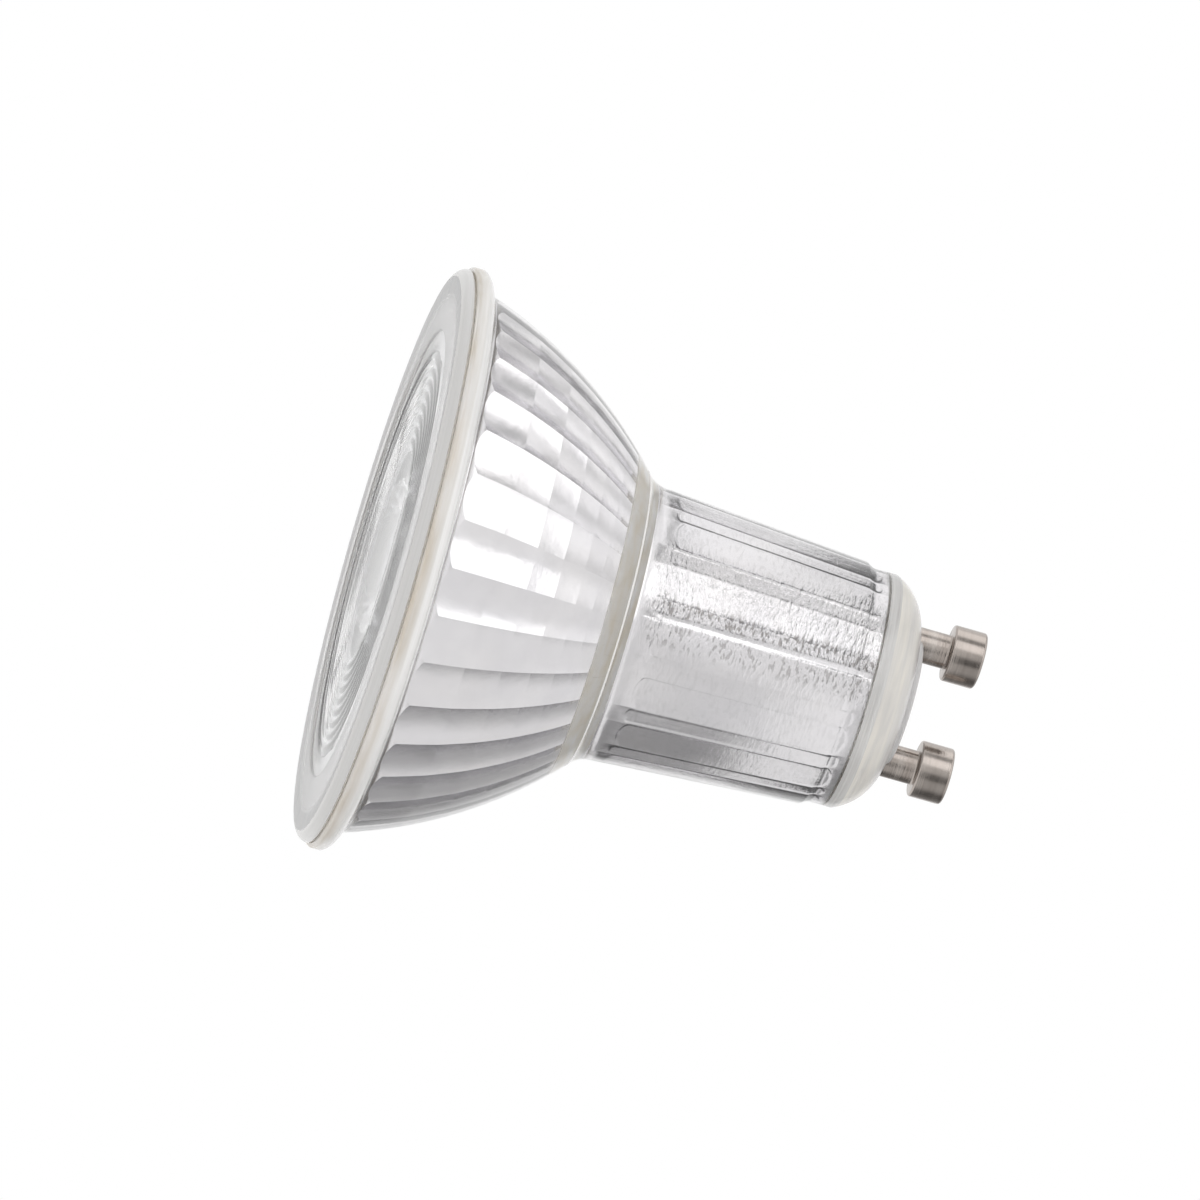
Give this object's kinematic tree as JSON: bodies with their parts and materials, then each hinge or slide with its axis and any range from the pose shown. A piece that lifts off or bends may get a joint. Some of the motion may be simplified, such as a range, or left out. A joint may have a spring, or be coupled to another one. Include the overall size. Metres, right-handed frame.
{
  "type": "gu10 spotlight bulb",
  "caption": "GU10 reflector lamp with a fluted, silvered glass bowl and neck, a clear front lens, twist-lock contact pins, and its light board, heat sink and driver inside.",
  "frame": {"origin": "centre of the front plane, in the face of the lens's flat outer ring", "axes": "+Z along the lamp's axis from the front to the contact pins; +X from the axis to the live pin"},
  "size_m": [0.05, 0.05, 0.0511],
  "materials": {
    "envelope_glass": "pressed glass, polished outside, silvered on the flutes inside",
    "lens_glass": "clear, with fine beads behind the plate",
    "clear_adhesive": "cured clear adhesive, slightly yellow",
    "board_white": "white solder mask on aluminium",
    "light_chip": "phosphor under silicone",
    "pad_grey": "soft thermal pad",
    "sink_aluminium": "pressed, plain",
    "waist_silicone": "cured silicone",
    "screw_steel": "zinc plated",
    "sleeve_plastic": "thin moulded insulator",
    "driver_laminate": "glass-fibre laminate with solder mask",
    "capacitor_sleeve": "shrink sleeve",
    "film_case": "moulded case",
    "ferrite": "sintered ferrite",
    "winding_copper": "enamelled copper",
    "chip_black": "moulded package",
    "resistor_glaze": "glazed body",
    "small_part_ceramic": "fired ceramic",
    "pin_nickel": "nickel plated, turned",
    "base_compound": "potting compound",
    "lead_brown": "insulated wire",
    "lead_blue": "insulated wire",
    "lead_red": "insulated wire",
    "lead_black": "insulated wire"
  },
  "bodies": {
    "root": {"glass_body": "envelope_glass", "front_lens": "lens_glass", "lens_adhesive": "clear_adhesive", "led_board": "board_white", "led_chips": "light_chip", "thermal_pad": "pad_grey", "heat_sink": "sink_aluminium", "waist_adhesive": "waist_silicone", "board_screws": "screw_steel", "driver_sleeve": "sleeve_plastic", "driver_board": "driver_laminate", "electrolytic_capacitor": "capacitor_sleeve", "film_capacitor": "film_case", "inductor_core": "ferrite", "inductor_winding": "winding_copper", "driver_chip": "chip_black", "bridge_rectifier": "chip_black", "fuse_resistor": "resistor_glaze", "chip_parts": "small_part_ceramic", "live_pin": "pin_nickel", "neutral_pin": "pin_nickel", "pin_washers": "screw_steel", "base_potting": "base_compound", "live_lead": "lead_brown", "neutral_lead": "lead_blue", "led_lead_positive": "lead_red", "led_lead_negative": "lead_black"}
  },
  "joints": []
}
